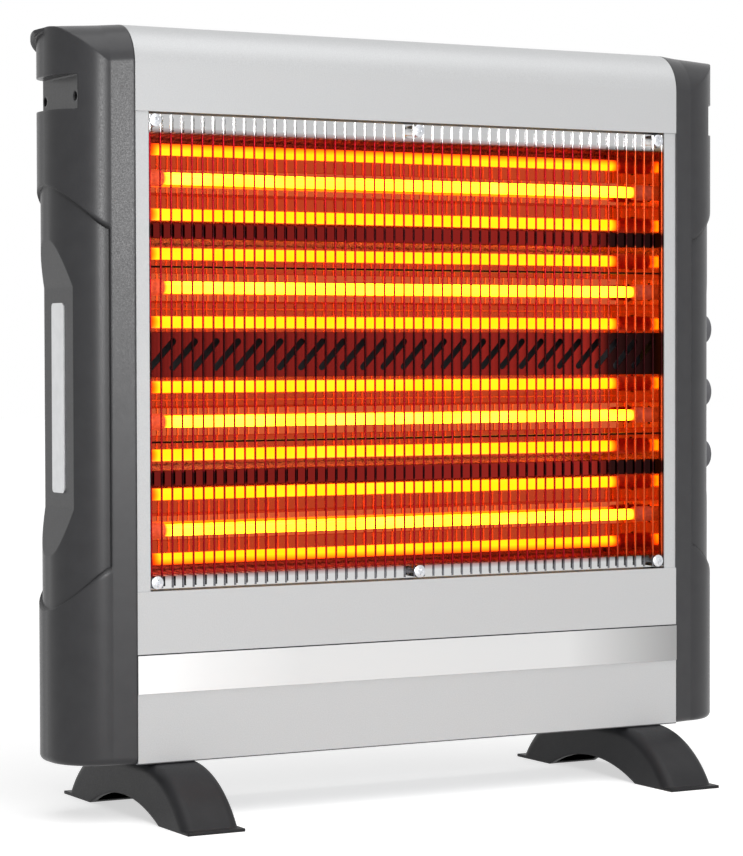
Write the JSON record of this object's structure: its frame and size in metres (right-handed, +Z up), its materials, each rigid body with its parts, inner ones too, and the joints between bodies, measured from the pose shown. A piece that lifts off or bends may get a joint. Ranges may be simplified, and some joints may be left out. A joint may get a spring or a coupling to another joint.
{
  "type": "quartz heater",
  "caption": "Free-standing electric quartz heater: silver front with a wire guard over glowing tubes and reflectors, dark end covers with knobs and grip recesses, arched feet.",
  "frame": {"origin": "on the floor under the middle of the body, at the bottom centre of the box", "axes": "+Z up, +X towards the end cover with the knobs, -Y out of the guarded front"},
  "size_m": [0.579, 0.224, 0.571],
  "materials": {
    "silver_panel": "satin silver-grey paint on sheet steel",
    "trim": "bright polished strip",
    "grey_plastic": "dark grey moulded plastic, fine matt grain",
    "foot_plastic": "near-black moulded plastic",
    "knob_plastic": "dark grey moulded plastic",
    "plate_plastic": "light grey satin, blank",
    "rear_sheet": "grey paint on sheet steel",
    "zinc_sheet": "zinc-plated sheet",
    "reflector_sheet": "polished sheet, lit red by the tubes",
    "quartz": "clear drawn quartz",
    "coil_wire": "resistance wire at red heat",
    "ceramic": "fired ceramic, off-white",
    "guard_wire": "bright plated wire",
    "zinc_screw": "zinc-plated",
    "steel_shaft": "turned steel",
    "brass": "plain brass",
    "switch_plastic": "heat-resistant moulded plastic",
    "wire_insulation": "silicone-glass sleeve",
    "rubber": "black rubber",
    "gland_plastic": "black plastic"
  },
  "bodies": {
    "heater_body": {"top_panel": "silver_panel", "lower_front_panel": "silver_panel", "left_side_strip": "silver_panel", "right_side_strip": "silver_panel", "trim_strip": "trim", "left_end_cover": "grey_plastic", "right_end_cover": "grey_plastic", "left_foot": "foot_plastic", "right_foot": "foot_plastic", "side_plate": "plate_plastic", "rear_panel": "rear_sheet", "base_plate": "zinc_sheet", "left_chassis_plate": "zinc_sheet", "right_chassis_plate": "zinc_sheet", "upper_reflector": "reflector_sheet", "lower_reflector": "reflector_sheet", "vent_strip": "reflector_sheet", "left_reflector_end": "reflector_sheet", "right_reflector_end": "reflector_sheet", "quartz_tube_1": "quartz", "quartz_tube_2": "quartz", "quartz_tube_3": "quartz", "quartz_tube_4": "quartz", "heating_coil_1": "coil_wire", "heating_coil_2": "coil_wire", "heating_coil_3": "coil_wire", "heating_coil_4": "coil_wire", "left_ceramic_caps": "ceramic", "right_ceramic_caps": "ceramic", "guard_grille": "guard_wire", "guard_screws": "zinc_screw", "guard_spacers": "zinc_screw", "rear_screws": "zinc_screw", "cover_screws": "zinc_screw", "foot_screws": "zinc_screw", "switch_nuts": "zinc_screw", "tube_terminals": "brass", "terminal_nuts": "brass", "bus_bar": "brass", "top_rotary_switch": "switch_plastic", "middle_rotary_switch": "switch_plastic", "bottom_rotary_switch": "switch_plastic", "terminal_block": "switch_plastic", "switch_wiring": "wire_insulation", "supply_wire": "wire_insulation", "return_wire": "wire_insulation", "wire_grommets": "rubber", "cable_gland": "gland_plastic"},
    "top_knob": {"top_knob": "knob_plastic", "top_knob_shaft": "steel_shaft"},
    "middle_knob": {"middle_knob": "knob_plastic", "middle_knob_shaft": "steel_shaft"},
    "bottom_knob": {"bottom_knob": "knob_plastic", "bottom_knob_shaft": "steel_shaft"}
  },
  "joints": [
    {"name": "top_knob_turn", "type": "hinge", "parent": "heater_body", "child": "top_knob", "pos_m": [0.2733, 0, 0.354], "axis": [1, 0, 0], "range_deg": [0, 90]},
    {"name": "middle_knob_turn", "type": "hinge", "parent": "heater_body", "child": "middle_knob", "pos_m": [0.2733, 0, 0.3035], "axis": [1, 0, 0], "range_deg": [0, 90]},
    {"name": "bottom_knob_turn", "type": "hinge", "parent": "heater_body", "child": "bottom_knob", "pos_m": [0.2733, 0, 0.253], "axis": [1, 0, 0], "range_deg": [0, 90]}
  ]
}
